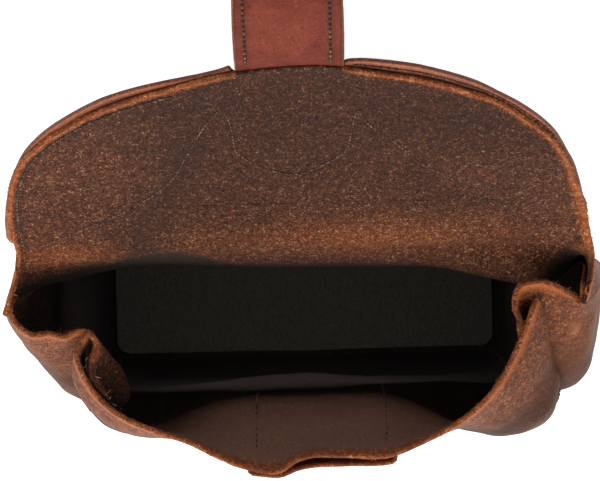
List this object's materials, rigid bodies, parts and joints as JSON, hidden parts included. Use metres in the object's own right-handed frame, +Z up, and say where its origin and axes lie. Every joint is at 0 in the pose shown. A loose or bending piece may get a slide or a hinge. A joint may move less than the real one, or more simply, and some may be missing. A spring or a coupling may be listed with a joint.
{
  "type": "drum stick bag",
  "caption": "Tall leather drum stick bag standing open: sewn panels, folded side gussets, D-shaped suede-lined flap leaning back and a stitched closure strap.",
  "frame": {"origin": "middle of the base's underside, where the bag stands", "axes": "+X to the right seen from the front, +Y to the back where the flap is, +Z up"},
  "size_m": [0.2285, 0.2399, 0.6925],
  "materials": {
    "hide": "rough suede inside, smooth outside",
    "smooth_leather": "smooth, lightly scuffed",
    "strap_leather": "smooth red-brown, satin",
    "thread": "waxed thread",
    "board": "pressed leather board",
    "brass": "aged"
  },
  "bodies": {
    "bag": {"back_panel": "hide", "front_panel": "hide", "left_gusset": "hide", "right_gusset": "hide", "base_panel": "hide", "base_insert": "board", "base_stitching": "thread", "front_pocket": "hide", "pocket_stitching": "thread", "front_left_stitching": "thread", "front_right_stitching": "thread", "back_left_stitching": "thread", "back_right_stitching": "thread", "front_magnet": "brass", "hanger_tab_left": "smooth_leather", "hanger_tab_right": "smooth_leather", "tab_rivets": "brass"},
    "flap_back": {"flap_hide_top": "hide", "flap_overlay_top": "smooth_leather", "flap_edge_stitching_top": "thread", "overlay_stitching_top": "thread"},
    "flap_front": {"flap_hide_front": "hide", "flap_overlay_front": "smooth_leather", "flap_edge_stitching_front": "thread", "overlay_stitching_front": "thread", "strap_base": "strap_leather", "strap_base_stitching": "thread"},
    "strap": {"strap_outer": "strap_leather", "strap_lining": "strap_leather", "strap_stitching": "thread", "strap_magnet": "brass"},
    "ring_left": {"hanger_ring_left": "brass"},
    "ring_right": {"hanger_ring_right": "brass"}
  },
  "joints": [
    {"name": "flap_hinge", "type": "hinge", "parent": "bag", "child": "flap_back", "pos_m": [0, 0.0329, 0.4415], "axis": [1, 0, 0], "range_deg": [-60, 112]},
    {"name": "flap_bend", "type": "hinge", "parent": "flap_back", "child": "flap_front", "pos_m": [0, 0.06624, 0.52402], "axis": [1, 0, 0], "range_deg": [0, 90]},
    {"name": "strap_bend", "type": "hinge", "parent": "flap_front", "child": "strap", "pos_m": [0, 0.10275, 0.60903], "axis": [1, 0, 0], "range_deg": [-45, 34]},
    {"name": "ring_left_swing", "type": "hinge", "parent": "bag", "child": "ring_left", "pos_m": [-0.072, 0.03385, 0.388], "axis": [1, 0, 0], "range_deg": [0, 160]},
    {"name": "ring_right_swing", "type": "hinge", "parent": "bag", "child": "ring_right", "pos_m": [0.072, 0.03385, 0.388], "axis": [1, 0, 0], "range_deg": [0, 160]}
  ]
}
